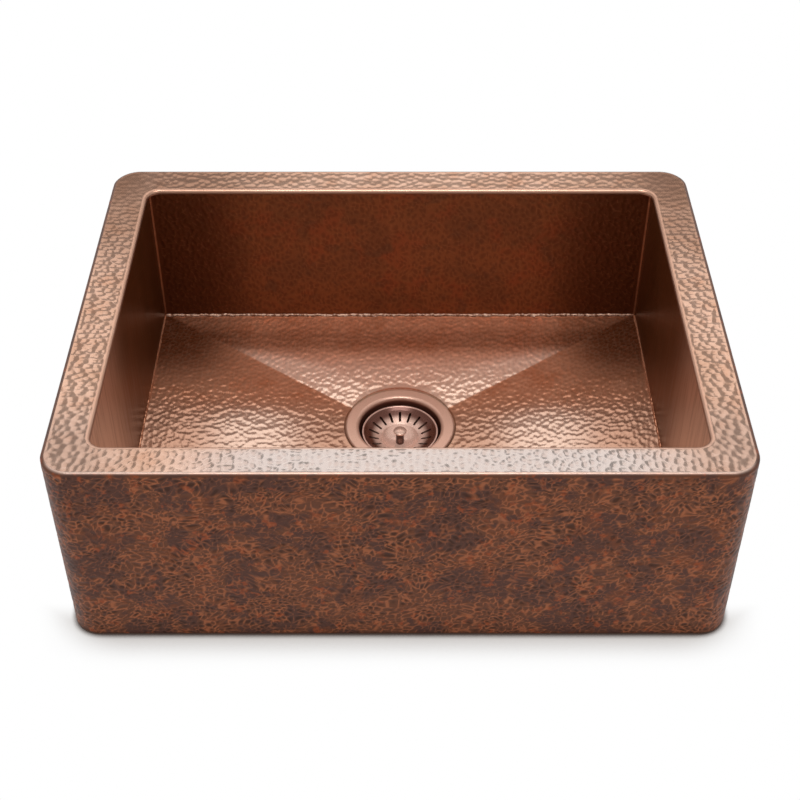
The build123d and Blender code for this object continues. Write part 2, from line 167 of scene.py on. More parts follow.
# A noise is its size in mm, its detail and its stretch. A layer is its mask, where the mask starts
# to show it and shows it in full, the most of it that is laid on, and its colour.
even = (1, 1, 1)
sheetMarks = ("ridge", "pit", "paintedHighlight", "tarnishAndShade")
finishes = {
    # Apron: copper darkened with liver of sulphur and waxed. Plum and brown patches, dark pits,
    # and the high ridges between them rubbed back to orange copper. A painted highlight runs along the top of
    # the bead.
    "patinatedCopperApron": {
        "base": "#643D2B", "marks": sheetMarks,
        "noises": {"patch": (24, 5, even), "spot": (11, 3, even), "grain": (1.3, 3, even)},
        "layers": [
            ("tarnishAndShade", 0.0, 1.0, 0.85, "#50342C"), ("patch", 0.54, 0.66, 0.6, "#744026"),
            ("spot", 0.57, 0.69, 0.7, "#984A28"), ("pit", 0.10, 0.80, 0.7, "#382014"),
            ("ridge", 0.08, 0.85, 0.85, "#9E5E3E"), ("paintedHighlight", 0.0, 1.0, 1.0, "#F0CFBE"),
            ("grain", 0.55, 0.80, 0.3, "#40281E")],
        "metallic": 0.7, "roughness": 0.46, "grainStrength": 0.5, "gloss": 0.3, "polish": ("paintedHighlight", 0.22),
    },
    # Rim: the same sheet, polished back to a pale tan pink, with a painted highlight that goes nearly white in
    # front and another along the rolled lip; tarnish darkens its back corners and painted shade the underside
    # of the lip
    "polishedCopperRim": {
        "base": "#C49E88", "marks": sheetMarks + ("lip",),
        "noises": {"cloud": (45, 5, even), "patch": (22, 4, even), "grain": (1.0, 3, even)},
        "layers": [
            ("cloud", 0.42, 0.60, 0.6, "#B08870"), ("patch", 0.50, 0.68, 0.4, "#B88466"),
            ("tarnishAndShade", 0.0, 1.0, 0.9, "#7C5640"), ("paintedHighlight", 0.0, 1.0, 0.95, "#B8ACA6"),
            ("pit", 0.30, 0.90, 0.2, "#A07C68"), ("ridge", 0.50, 1.0, 0.12, "#E4CABC"),
            ("lip", 0.0, 1.0, 0.6, "#D2A48C"), ("grain", 0.58, 0.80, 0.2, "#A07A66")],
        "metallic": 0.85, "roughness": 0.16, "grainStrength": 0.1, "polish": ("lip", 0.36),
    },
    # Basin floor: polished less, with a golden brown patina; painted shade makes it darker and redder towards
    # the back wall and in the back corners, and painted highlights brighten the back facet and the front
    "satinCopperFloor": {
        "base": "#D89876", "marks": sheetMarks + ("pale", "paintedGlints"),
        "noises": {"cloud": (60, 5, even), "patch": (28, 4, even), "grain": (1.2, 3, even)},
        "layers": [
            ("cloud", 0.42, 0.60, 0.6, "#C88664"), ("patch", 0.50, 0.68, 0.5, "#C47850"),
            ("tarnishAndShade", 0.0, 1.0, 0.95, "#643012"), ("paintedHighlight", 0.0, 1.0, 0.9, "#FCDAC4"),
            ("pit", 0.25, 0.90, 0.15, "#8E5234"), ("ridge", 0.20, 1.0, 0.1, "#ECC4AA"),
            ("pale", 0.0, 1.0, 0.8, "#AC846E"), ("paintedGlints", 0.0, 1.0, 0.8, "#E0C0AC"),
            ("grain", 0.58, 0.80, 0.25, "#965E40")],
        "metallic": 0.62, "roughness": 0.17, "grainStrength": 0.2,
    },
    # Back wall: red-brown oxide left as it came from the torch, with painted shade towards its corners and a
    # thin painted highlight down each rounded corner
    "oxidisedCopperBack": {
        "base": "#8E502C", "marks": sheetMarks,
        "noises": {"cloud": (60, 5, even), "patch": (36, 4, even), "spot": (22, 3, even),
                   "grain": (1.2, 3, even)},
        "layers": [
            ("cloud", 0.42, 0.60, 0.7, "#7A4628"), ("patch", 0.50, 0.68, 0.6, "#984826"),
            ("spot", 0.56, 0.70, 0.6, "#6C422A"), ("tarnishAndShade", 0.0, 1.0, 0.9, "#56260A"),
            ("paintedHighlight", 0.0, 1.0, 0.7, "#A06848"), ("pit", 0.10, 0.80, 0.4, "#5A2A14"),
            ("ridge", 0.40, 1.0, 0.2, "#B8704A")],
        "metallic": 0.6, "roughness": 0.42, "grainStrength": 0.25,
    },
    # Side walls: brushed up and down, with a painted highlight that makes them pinker and lighter towards the
    # front
    "brushedCopperSides": {
        "base": "#70401E", "marks": ("paintedHighlight",),
        "noises": {"cloud": (70, 4, even), "grain": (5, 4, (1, 1, 0.06))},
        "layers": [
            ("cloud", 0.40, 0.62, 0.5, "#824C2A"), ("paintedHighlight", 0.0, 1.0, 0.9, "#DCB49C"),
            ("grain", 0.45, 0.70, 0.4, "#8E5C3E")],
        "metallic": 0.8, "roughness": 0.32, "grainStrength": 0.35,
    },
    # Weld bead at the back: filler rod, wire brushed bright
    "brushedCopperWeld": {
        "base": "#B4907C", "noises": {"cloud": (5, 3, even), "grain": (1.8, 3, even)},
        "layers": [("cloud", 0.44, 0.56, 0.85, "#6E4028"), ("grain", 0.50, 0.70, 0.5, "#E0C4B4")],
        "metallic": 0.8, "roughness": 0.5, "grainStrength": 0.8,
    },
    # Back of the sheet, as it came from the rolls: plain copper with long faint streaks
    "rolledCopper": {
        "base": "#9A6242", "noises": {"cloud": (80, 4, even), "grain": (7, 4, (0.08, 1, 1))},
        "layers": [("cloud", 0.40, 0.62, 0.6, "#84523A"), ("grain", 0.45, 0.72, 0.4, "#B88260")],
        "metallic": 0.75, "roughness": 0.42, "grainStrength": 0.25,
    },
    # Strainer: antique copper plating on brass, satin outside, with painted shade darkening it inside the drain
    "platedCopperStrainer": {
        "base": "#D8A892", "noises": {"cloud": (26, 4, even), "grain": (1.0, 3, even)},
        "layers": [("cloud", 0.40, 0.62, 0.3, "#D4AA94"),
                   ("height", strainerHigh.z - 0.6 * mm, strainerHigh.z - 5 * mm, 0.92, "#5A2618")],
        "metallic": 0.4, "roughness": 0.3, "grainStrength": 0.08,
    },
    # Basket: the same plating in a paler colour that stands in for the highlights on its dish, with painted
    # shade below its rim and a painted highlight on the rim's top edge
    "platedCopperBasket": {
        "base": "#F0C6B4", "noises": {"cloud": (26, 4, even), "grain": (1.0, 3, even)},
        "layers": [("cloud", 0.40, 0.62, 0.3, "#CCA28C"),
                   ("height", basketHigh.z - 7.5 * mm, basketHigh.z - 4 * mm, 0.95, "#562412"),
                   ("height", basketHigh.z - 0.5 * mm, basketHigh.z - 0.1 * mm, 1.0, "#D4A898")],
        "metallic": 0.4, "roughness": 0.24, "grainStrength": 0.08,
    },
    # Knob: the same plating, pale, with painted shade round its neck under the head
    "platedCopperKnob": {
        "base": "#DDB6A4", "noises": {"cloud": (26, 4, even), "grain": (1.0, 3, even)},
        "layers": [("cloud", 0.40, 0.62, 0.3, "#CCA28C"),
                   ("height", knobHigh.z - 2.6 * mm, knobHigh.z - 4.6 * mm, 0.95, "#3C1A10")],
        "metallic": 0.6, "roughness": 0.28, "grainStrength": 0.08,
    },
    # Nuts, washers and clip: pressed steel with bright zinc
    "zincPlatedSteel": {
        "base": "#A6A9AB", "noises": {"cloud": (12, 4, even), "grain": (1.8, 4, even)},
        "layers": [("cloud", 0.40, 0.62, 0.5, "#8C9093"), ("grain", 0.50, 0.72, 0.3, "#C2C5C6")],
        "metallic": 0.9, "roughness": 0.35, "grainStrength": 0.15,
    },
    # Plumber's putty, set: a dull buff paste
    "setPutty": {
        "base": "#A09274", "noises": {"cloud": (10, 4, even), "grain": (1.6, 4, even)},
        "layers": [("cloud", 0.40, 0.62, 0.5, "#8E8068"), ("grain", 0.50, 0.72, 0.3, "#B4A88C")],
        "metallic": 0.0, "roughness": 0.75, "grainStrength": 0.5,
    },
    # Gasket and stopper: black moulded rubber, matt
    "nitrileRubber": {
        "base": "#171413", "noises": {"cloud": (14, 3, even), "grain": (0.6, 3, even)},
        "layers": [("cloud", 0.40, 0.62, 0.5, "#221E1C")],
        "metallic": 0.0, "roughness": 0.75, "grainStrength": 0.3, "gloss": 0.25,
    },
}
materials = {name: layeredFinish(name, look) for name, look in finishes.items()}
say("materials made")


# The hammer's pattern, worked out in flat metres of sheet. Noise and blows repeat after this many:
repeats = {"noise": 128, "blows": 256}


def softNoise(u, v, size, seed):
    # smooth random values from 0 to 1, one lattice point for every size of sheet
    count = repeats["noise"]
    table = np.random.default_rng(seed).random((count, count))
    a, b = u / size, v / size
    i, j = np.floor(a).astype(int), np.floor(b).astype(int)
    s, t = a - i, b - j
    s, t = s * s * (3 - 2 * s), t * t * (3 - 2 * t)

    def corner(di, dj):
        return table[(i + di) % count, (j + dj) % count]

    return ((corner(0, 0) * (1 - s) + corner(1, 0) * s) * (1 - t)
            + (corner(0, 1) * (1 - s) + corner(1, 1) * s) * t)


def smoothStep(value, low, high):
    t = np.clip((value - low) / (high - low), 0, 1)
    return t * t * (3 - 2 * t)


def hammerMarks(u, v, marks):
    # each blow leaves a round hollow; where two meet a ridge stands
    count = repeats["blows"]
    rng = np.random.default_rng(marks["seed"])
    spots = rng.random((count, count, 2)) - 0.5
    force = rng.random((count, count))
    for step, (push, size) in enumerate(marks["warps"]):
        shiftU = push * (softNoise(u, v, size, marks["seed"] + 2 * step + 1) - 0.5)
        shiftV = push * (softNoise(u, v, size, marks["seed"] + 2 * step + 2) - 0.5)
        u, v = u + shiftU, v + shiftV
    a, b = u / (marks["spacing"] * marks["stretch"]), v / marks["spacing"]
    i, j = np.floor(a).astype(int), np.floor(b).astype(int)
    lowest = np.full(a.shape, 9.0)   # farther than any blow
    second = lowest.copy()
    for di in (-1, 0, 1):
        for dj in (-1, 0, 1):
            ci, cj = i + di, j + dj
            spot = spots[ci % count, cj % count]
            x = a - (ci + 0.5 * (cj % 2) + marks["jitter"] * spot[..., 0])
            y = b - (cj + 0.5 + marks["jitter"] * spot[..., 1])
            reach = x * x + y * y + marks["uneven"] * force[ci % count, cj % count]
            second = np.minimum(second, np.maximum(lowest, reach))
            lowest = np.minimum(lowest, reach)
    height = -(1 - np.clip(lowest / marks["fullAt"], 0, 1)) ** 2 * marks["depth"]
    ridge = np.clip(1 - (second - lowest) / marks["ridgeWidth"], 0, 1)
    pit = np.clip(1 - lowest / marks["pitAt"], 0, 1)
    return height, ridge, pit


# Sheets: a flat blank with a fine hammered side and a coarse hidden side, then bent to shape
ringRadius = 2   # of a ring's middle, in widths of its blank


def flatBlank(columns, rows, coarse):
    # the unit blank: x and y from -0.5 to 0.5, z 0 on the fine side and -1 on the hidden side
    bm = bmesh.new()
    bmesh.ops.create_grid(bm, x_segments=columns, y_segments=rows, size=0.5)
    fine = set(bm.faces)
    bmesh.ops.create_grid(bm, x_segments=columns // coarse, y_segments=rows // coarse, size=0.5,
                          matrix=Matrix.Translation((0, 0, -1)))
    bmesh.ops.reverse_faces(bm, faces=[f for f in bm.faces if f not in fine])
    return bm


def readPoints(mesh):
    co = np.zeros(len(mesh.vertices) * 3)
    mesh.vertices.foreach_get("co", co)
    return co.reshape(-1, 3)


def finishMesh(mesh, places, looks, sharpAngle=40):
    mesh.vertices.foreach_set("co", places.astype(np.float32).ravel())
    # a blank that its places mirror comes out inside out, with a volume below nought
    bm = bmesh.new()
    bm.from_mesh(mesh)
    if bm.calc_volume(signed=True) < 0:
        mesh.flip_normals()
    bm.free()
    for label, values in looks.items():
        layer = mesh.attributes.new(name=label, type="FLOAT", domain="POINT")
        layer.data.foreach_set("value", values.astype(np.float32))
    mesh.polygons.foreach_set("use_smooth", [True] * len(mesh.polygons))
    mesh.set_sharp_from_angle(angle=math.radians(sharpAngle))
    mesh.update()


def addPiece(mesh, name, finishNames, slotName, body, *nodes):
    piece = linkObject(name, mesh)
    for finishName in finishNames:
        mesh.materials.append(materials[finishName])
    if nodes:
        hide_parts(*nodes)
    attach(piece, body)
    print("piece:", name, "triangles", sum(len(p.vertices) - 2 for p in mesh.polygons), flush=True)


def bentSheet(name, size, place, finishName, slotName, nodes, ring=False):
    # place(u, v) gives every point of the blank its spot, way out, hammered height and looks
    cell, coarse = size["cell"], size["coarse"]
    columns = coarse * max(1, round(size["along"] / cell / coarse))
    rows = coarse * max(1, round(size["across"] / cell / coarse))
    bm = flatBlank(columns, rows, coarse)
    if ring:
        # roll the blank into a flat ring, so that its two ends meet, before its edges are closed
        for vert in bm.verts:
            angle, radius = (vert.co.x + 0.5) * 2 * math.pi, vert.co.y + ringRadius
            vert.co = Vector((radius * math.cos(angle), radius * math.sin(angle), vert.co.z))
        bmesh.ops.remove_doubles(bm, verts=bm.verts[:], dist=1e-6)
        edges = [e for e in bm.edges if e.is_boundary]
        for inner in (True, False):
            loops = [e for e in edges if (e.verts[0].co.to_2d().length < ringRadius) == inner]
            bmesh.ops.bridge_loops(bm, edges=loops)
    else:
        bmesh.ops.bridge_loops(bm, edges=[e for e in bm.edges if e.is_boundary])
    mesh = meshFrom(bm, name)
    flat = readPoints(mesh)
    if ring:
        u = (np.arctan2(flat[:, 1], flat[:, 0]) / (2 * math.pi)) % 1.0
        v = np.hypot(flat[:, 0], flat[:, 1]) - (ringRadius - 0.5)
    else:
        u, v = flat[:, 0] + 0.5, flat[:, 1] + 0.5
    hidden = flat[:, 2] < -0.5
    points, normals, height, looks = place(u, v)
    lift = np.where(hidden, -sink["sheet"], height)
    looks = {label: np.where(hidden, 0, values) for label, values in looks.items()}
    finishMesh(mesh, points + normals * lift[:, None], looks)
    addPiece(mesh, name, (finishName, "rolledCopper"), slotName, "sink", *nodes)
    backs = [int(all(hidden[i] for i in face.vertices)) for face in mesh.polygons]
    mesh.polygons.foreach_set("material_index", backs)


# Skirt: apron face, side returns and rear wrap
apronMarks = {
    "spacing": 4.8 * mm, "stretch": 1.3,        # between blows, and how much wider they are along u
    "jitter": 0.9, "uneven": 0.12,              # of their places and of their force
    "fullAt": 0.42, "pitAt": 0.24, "ridgeWidth": 0.34, "depth": 0.6 * mm,
    "warps": ((12 * mm, 24 * mm), (5 * mm, 7 * mm)), "seed": 11,   # each warp: how far, how broad
}
skirtWearAndHighlight = {
    # patches struck lightly: a broad and a fine noise, and what share of a blow they lose
    "patchBroad": 24 * mm, "patchFine": 9 * mm, "fineShare": 0.9, "patch": (0.86, 1.2), "lighter": 0.4,
    # ridges broken up along their length, and pits dark in places only
    "ridgeBreaks": 5 * mm, "ridge": (0.2, 0.6), "ridgeLess": 0.45,
    "pitBreaks": 21 * mm, "pit": (0.3, 0.6), "pitLess": 0.6,
    # the blows stop at the hem and at the bead, whose top gets a painted highlight, most of all in front
    "aboveHem": 3 * mm, "bead": (-1 * mm, 2 * mm), "beadPower": 2.5, "facing": (0.3, 0.9), "asideLess": 0.7,
}


def skirtPlan(along, face, facing):
    # point on the plan outline, and the way out of it, at a distance along from the middle of a face
    half, radius = sink["halfWidth"] - sink["corner"], sink["corner"]
    side, run = np.sign(along), np.abs(along)
    turn = np.clip((run - half) / radius, 0, math.pi / 2)
    beyond = np.maximum(run - half - radius * math.pi / 2, 0)
    outX, outY = side * np.sin(turn), facing * np.cos(turn)
    x = side * np.minimum(run, half) + outX * radius
    y = face - facing * radius + outY * radius - facing * beyond
    return x, y, outX, outY


skirtFlat = sink["hemWidth"] - sink["hem"]
skirtFace = sink["top"] - sink["base"] - sink["hem"] - sink["bead"]
skirtLength = skirtFlat + (sink["hem"] + sink["bead"]) * math.pi / 2 + skirtFace


def skirtPlace(start, end, face, facing, marks):
    # from the hem's inner edge, round the hem, up the face and over the bead to the rim
    faceFrom = skirtFlat + sink["hem"] * math.pi / 2
    beadFrom = faceFrom + skirtFace
    wearAndLight, seed = skirtWearAndHighlight, marks["seed"]

    def place(u, v):
        along = start + (end - start) * u
        across = v * skirtLength
        lowTurn = np.clip((across - skirtFlat) / sink["hem"], 0, math.pi / 2)
        highTurn = np.clip((across - beadFrom) / sink["bead"], 0, math.pi / 2)
        inset = (skirtFlat - np.clip(across, 0, skirtFlat) + sink["hem"] * (1 - np.sin(lowTurn))
                 + sink["bead"] * (1 - np.cos(highTurn)))
        z = (sink["base"] + sink["hem"] * (1 - np.cos(lowTurn)) + np.clip(across - faceFrom, 0, skirtFace)
             + sink["bead"] * np.sin(highTurn))
        tilt = lowTurn + highTurn - math.pi / 2
        x, y, outX, outY = skirtPlan(along, face, facing)
        points = np.stack([x - outX * inset, y - outY * inset, z], 1)
        normals = np.stack([outX * np.cos(tilt), outY * np.cos(tilt), np.sin(tilt)], 1)
        height, ridge, pit = hammerMarks(along, across, marks)
        patches = (softNoise(along, across, wearAndLight["patchBroad"], seed + 9)
                   + wearAndLight["fineShare"] * softNoise(along, across, wearAndLight["patchFine"], seed + 8))
        tarnishAndShade = smoothStep(patches, *wearAndLight["patch"])
        ridgeRuns = smoothStep(softNoise(along, across, wearAndLight["ridgeBreaks"], seed + 10), *wearAndLight["ridge"])
        pitRuns = smoothStep(softNoise(along, across, wearAndLight["pitBreaks"], seed + 11), *wearAndLight["pit"])
        beadLow, beadHigh = wearAndLight["bead"]
        fade = (smoothStep(across, skirtFlat, faceFrom + wearAndLight["aboveHem"])
                * (1 - smoothStep(across, beadFrom + beadLow, beadFrom + beadHigh)))
        struck = fade * (1 - wearAndLight["lighter"] * tarnishAndShade)
        aside = 1 - smoothStep(-outY, *wearAndLight["facing"])
        # painted highlight on the bead's top, most of all on the front face
        paintedHighlight = (highTurn / (math.pi / 2)) ** wearAndLight["beadPower"] * (1 - wearAndLight["asideLess"] * aside)
        return points, normals, height * struck, {
            "ridge": ridge * struck * (1 - wearAndLight["ridgeLess"] * (1 - ridgeRuns)),
            "pit": pit * fade * (1 - wearAndLight["pitLess"] * (1 - pitRuns)), "paintedHighlight": paintedHighlight, "tarnishAndShade": tarnishAndShade}

    return place


cornerEnd = sink["halfWidth"] - sink["corner"] + sink["corner"] * math.pi / 2
apronEnd = cornerEnd + sink["seam"] - sink["front"] - sink["corner"]
rearEnd = cornerEnd + sink["back"] - sink["corner"] - sink["seam"]
faces = {"front": (-1, apronMarks), "back": (1, dict(apronMarks, seed=53))}   # way along y, and marks
skirtSheets = {
    # its two ends along the outline, the face whose middle they are measured from, cell and CAD node
    "apronLeftHalf": (-cornerEnd, 0, "front", 1.1 * mm, "apron_wrap"),
    "apronRightHalf": (0, cornerEnd, "front", 1.1 * mm, "apron_wrap"),
    "apronReturnLeft": (-apronEnd, -cornerEnd, "front", 1.4 * mm, "apron_wrap"),
    "apronReturnRight": (cornerEnd, apronEnd, "front", 1.4 * mm, "apron_wrap"),
    "rearSkirt": (rearEnd, -rearEnd, "back", 1.6 * mm, "rear_wrap"),
}
for name, (start, end, faceName, cell, node) in skirtSheets.items():
    place = skirtPlace(start, end, sink[faceName], *faces[faceName])
    size = {"along": abs(end - start), "across": skirtLength, "cell": cell, "coarse": 4}
    bentSheet(name, size, place, "patinatedCopperApron", "aged_copper", (node,))
say("skirt bent")


# Rim: a flat ring with a rolled inner lip, struck with a long-faced hammer across each strip
rimMarks = {"spacing": 6.3 * mm, "stretch": 1.3, "jitter": 0.7, "uneven": 0.1, "fullAt": 0.62, "pitAt": 0.3,
            "ridgeWidth": 0.3, "depth": 0.75 * mm, "warps": ((3 * mm, 14 * mm),), "seed": 5}
rimWearAndLight = {
    "mitre": (-5 * mm, 5 * mm),   # where the marks turn from one strip's way to the next one's
    # the blows fade at both edges of the strip, and the lip below is left unhammered, with a painted highlight
    # along its roll
    "outerEdge": (-0.5 * mm, 1.5 * mm), "innerEdge": (-1.5 * mm, 1 * mm), "lip": (-1.2 * mm, 0.3 * mm),
    # painted shade under the lip, by how far it has turned down
    "underLip": (1.0, 1.5),
    # ranges of x and y, with the shares that each place is flatter, darker or given a painted highlight
    "backCorner": {"x": (0.21, 0.285), "y": (0.03, 0.17), "flatter": 0.75, "tarnishAndShade": 0.8},
    "backStrip": {"y": (0.1, 0.18), "flatter": 0.4},
    "frontCorner": {"x": (0.17, 0.27), "y": (-0.21, -0.12), "flatter": 0.4, "tarnishAndShade": 0.4, "paintedHighlight": 0.3},
    "frontMiddle": {"x": 0.035, "reach": (0.11, 0.29), "y": (-0.235, -0.205)},
    "sides": {"x": 0.04, "reach": (0.08, 0.28), "y": (-0.06, 0.13), "tarnishAndShade": 0.7},
}


def roundedShares(halfWidth, front, back, radius):
    straightX, straightY = 2 * (halfWidth - radius), back - front - 2 * radius
    lengths = [straightX, radius * math.pi / 2, straightY, radius * math.pi / 2] * 2
    return [length / sum(lengths) for length in lengths], sum(lengths)


def roundedOutline(u, halfWidth, front, back, radius, shares):
    # point on a rounded rectangle and the way out of it; every outline turns at the same shares of u
    x, y, outX, outY = np.zeros((4, len(u)))
    reachX, lowY, highY = halfWidth - radius, front + radius, back - radius
    corners = [(reachX, lowY), (reachX, highY), (-reachX, highY), (-reachX, lowY)]
    begin = 0.0
    for side in range(4):
        straight, bend = shares[2 * side], shares[2 * side + 1]
        startX, startY = corners[side - 1]
        endX, endY = corners[side]
        aimX, aimY = ((0, -1), (1, 0), (0, 1), (-1, 0))[side]
        on = (u >= begin) & (u <= begin + straight)
        t = (u[on] - begin) / straight
        outX[on], outY[on] = aimX, aimY
        x[on] = startX + (endX - startX) * t + aimX * radius
        y[on] = startY + (endY - startY) * t + aimY * radius
        begin += straight
        on = (u > begin) & (u <= begin + bend + 1e-9)
        angle = math.pi / 2 * (side - 1 + (u[on] - begin) / bend)
        outX[on], outY[on] = np.cos(angle), np.sin(angle)
        x[on] = endX + radius * outX[on]
        y[on] = endY + radius * outY[on]
        begin += bend
    return x, y, outX, outY


rimWidth = sink["back"] - basin["back"] - sink["bead"] - basin["lip"]
rimArc = basin["lip"] * math.pi / 2
rimAcross = rimWidth + rimArc + basin["lipDrop"] - basin["lip"]
rimMiddle = 18 * mm        # from the mouth to the middle of a strip
rimMiddleCorner = 5 * mm   # more than the mouth's corner
rimShares, rimAround = roundedShares(basin["halfWidth"] + rimMiddle, basin["front"] - rimMiddle,
                                     basin["back"] + rimMiddle, basin["mouthCorner"] + rimMiddleCorner)


def rimPlace(u, v):
    wearAndLight = rimWearAndLight
    backCorner, frontCorner, sides = wearAndLight["backCorner"], wearAndLight["frontCorner"], wearAndLight["sides"]
    across = v * rimAcross
    flatShare = np.clip(across / rimWidth, 0, 1)
    turn = np.clip((across - rimWidth) / basin["lip"], 0, math.pi / 2)
    down = np.maximum(across - rimWidth - rimArc, 0)
    bead, grow = sink["bead"], basin["lip"]
    outerX, outerY, _, _ = roundedOutline(u, sink["halfWidth"] - bead, sink["front"] + bead,
                                          sink["back"] - bead, sink["corner"] - bead, rimShares)
    innerX, innerY, outX, outY = roundedOutline(u, basin["halfWidth"] + grow, basin["front"] - grow,
                                                basin["back"] + grow, basin["mouthCorner"] + grow, rimShares)
    x = outerX + (innerX - outerX) * flatShare - outX * grow * np.sin(turn)
    y = outerY + (innerY - outerY) * flatShare - outY * grow * np.sin(turn)
    z = sink["top"] - grow * (1 - np.cos(turn)) - down
    normals = np.stack([-outX * np.sin(turn), -outY * np.sin(turn), np.cos(turn)], 1)
    alongSide = np.abs(x) - basin["halfWidth"] - np.maximum(basin["front"] - y, y - basin["back"])
    sideShare = smoothStep(alongSide, *wearAndLight["mitre"])
    onSides, onEnds = hammerMarks(x, y, rimMarks), hammerMarks(y, x, rimMarks)
    height, ridge, pit = [a * sideShare + b * (1 - sideShare) for a, b in zip(onSides, onEnds)]
    inBackCorner = smoothStep(np.abs(x), *backCorner["x"]) * smoothStep(y, *backCorner["y"])
    inFrontCorner = smoothStep(np.abs(x), *frontCorner["x"]) * (1 - smoothStep(y, *frontCorner["y"]))
    fade = (1 - smoothStep(across - rimWidth, *wearAndLight["innerEdge"])) * smoothStep(across, *wearAndLight["outerEdge"])
    fade = fade * (1 - backCorner["flatter"] * inBackCorner)
    fade = fade * (1 - wearAndLight["backStrip"]["flatter"] * smoothStep(y, *wearAndLight["backStrip"]["y"]))
    # painted highlight along the front; darker in the corners and towards the back of the sides, and painted
    # shade under the lip
    middle = wearAndLight["frontMiddle"]
    paintedHighlight = (1 - smoothStep(y, *middle["y"])) * (1 - smoothStep(np.abs(x - middle["x"]), *middle["reach"]))
    onBackSides = smoothStep(y, *sides["y"]) * smoothStep(np.abs(x - sides["x"]), *sides["reach"])
    tarnishAndShade = np.maximum.reduce([
        backCorner["tarnishAndShade"] * inBackCorner, sides["tarnishAndShade"] * onBackSides,
        frontCorner["tarnishAndShade"] * inFrontCorner, smoothStep(turn, *wearAndLight["underLip"])])
    return np.stack([x, y, z], 1), normals, height * fade * (1 - frontCorner["flatter"] * inFrontCorner), {
        "ridge": ridge * fade, "pit": pit * fade, "paintedHighlight": np.maximum(paintedHighlight, frontCorner["paintedHighlight"] * inFrontCorner),
        "tarnishAndShade": tarnishAndShade, "lip": smoothStep(across - rimWidth, *wearAndLight["lip"])}


bentSheet("rimPlate", {"along": rimAround, "across": rimAcross, "cell": 1.15 * mm, "coarse": 4}, rimPlace,
          "polishedCopperRim", "rim_copper", ("rim_front", "rim_back", "rim_left", "rim_right"), ring=True)
say("rim bent")


# Basin walls
wallTall = basin["wallTop"] - basin["floorEdge"]
backMarks = dict(rimMarks, spacing=4.8 * mm, stretch=1.7, depth=0.8 * mm, seed=31,
                 warps=((7 * mm, 16 * mm), (4 * mm, 6 * mm)))
crossWearAndLight = {
    # the blows fade this near an edge; painted shade darkens the wall from these x out to its corners
    "edge": 4 * mm, "tarnishAndShade": (0.12, 0.24),
    # a thin, broken painted highlight down each corner, by the angle that the sheet has turned
    "lineAt": 0.7, "line": (0.1, 0.4), "lineBreaks": 11 * mm, "lineRuns": (0.2, 0.6), "lineSeed": 83,
}


def crossWallPlace(face, facing, marks):
    # front or back wall, with half of each rounded basin corner
    radius, wearAndLight = basin["corner"], crossWearAndLight
    straight = basin["halfWidth"] - radius
    total = 2 * (straight + radius * math.pi / 2)

    def place(u, v):
        along = (0.5 - u) * total * facing
        side, run = np.sign(along), np.abs(along)
        turn = np.clip((run - straight) / radius, 0, math.pi / 2)
        outX, outY = side * np.sin(turn), facing * np.cos(turn)
        x = side * np.minimum(run, straight) + outX * radius
        y = face - facing * radius + outY * radius
        z = basin["floorEdge"] + v * wallTall
        height, ridge, pit = hammerMarks(z, x, marks)
        fade = ((1 - smoothStep(run, straight - wearAndLight["edge"], straight))
                * smoothStep(z, basin["floorEdge"], basin["floorEdge"] + wearAndLight["edge"]))
        # painted highlight down each corner; painted shade darkens the wall towards its corners
        line = 1 - smoothStep(np.abs(turn - wearAndLight["lineAt"]), *wearAndLight["line"])
        runs = smoothStep(softNoise(z, x, wearAndLight["lineBreaks"], wearAndLight["lineSeed"]), *wearAndLight["lineRuns"])
        return np.stack([x, y, z], 1), np.stack([-outX, -outY, np.zeros_like(z)], 1), height * fade, {
            "ridge": ridge * fade, "pit": pit * fade, "tarnishAndShade": smoothStep(np.abs(x), *wearAndLight["tarnishAndShade"]),
            "paintedHighlight": line * runs}

    return place, total


for name, faceName, facing, marks, cell, node in (
        ("backWall", "back", 1, backMarks, 1.35 * mm, "basin_back_wall"),
        ("frontWall", "front", -1, dict(backMarks, seed=37), 1.8 * mm, "basin_front_wall")):
    place, total = crossWallPlace(basin[faceName], facing, marks)
    size = {"along": total, "across": wallTall, "cell": cell, "coarse": 4}
    bentSheet(name, size, place, "oxidisedCopperBack", "basin_copper", (node,))

# planished smooth: only long, very shallow waves are left
sideWavesAndHighlight = {"wave": 26 * mm, "seed": 41, "depth": 0.25 * mm, "edge": 12 * mm, "paintedHighlight": (-0.17, 0.0)}


def sideWallPlace(side):
    low, high = basin["front"] + basin["corner"], basin["back"] - basin["corner"]

    def place(u, v):
        y = low + (high - low) * u if side < 0 else high - (high - low) * u
        z = basin["floorEdge"] + v * wallTall
        edge = np.minimum(np.minimum(y - low, high - y), z - basin["floorEdge"])
        wave = softNoise(y, z, sideWavesAndHighlight["wave"], sideWavesAndHighlight["seed"]) - 1
        wave = wave * sideWavesAndHighlight["depth"] * smoothStep(edge, 0, sideWavesAndHighlight["edge"])
        flat = np.zeros_like(y)
        points = np.stack([flat + side * basin["halfWidth"], y, z], 1)
        normals = np.stack([flat - side, flat, flat], 1)
        # painted highlight towards the front
        return points, normals, wave, {"paintedHighlight": 1 - smoothStep(y, *sideWavesAndHighlight["paintedHighlight"])}

    return place, high - low


for name, side, node in (("leftWall", -1.0, "basin_left_wall"), ("rightWall", 1.0, "basin_right_wall")):
    place, total = sideWallPlace(side)
    size = {"along": total, "across": wallTall, "cell": 4 * mm, "coarse": 2}
    bentSheet(name, size, place, "brushedCopperSides", "basin_copper", (node,))
say("basin walls made")


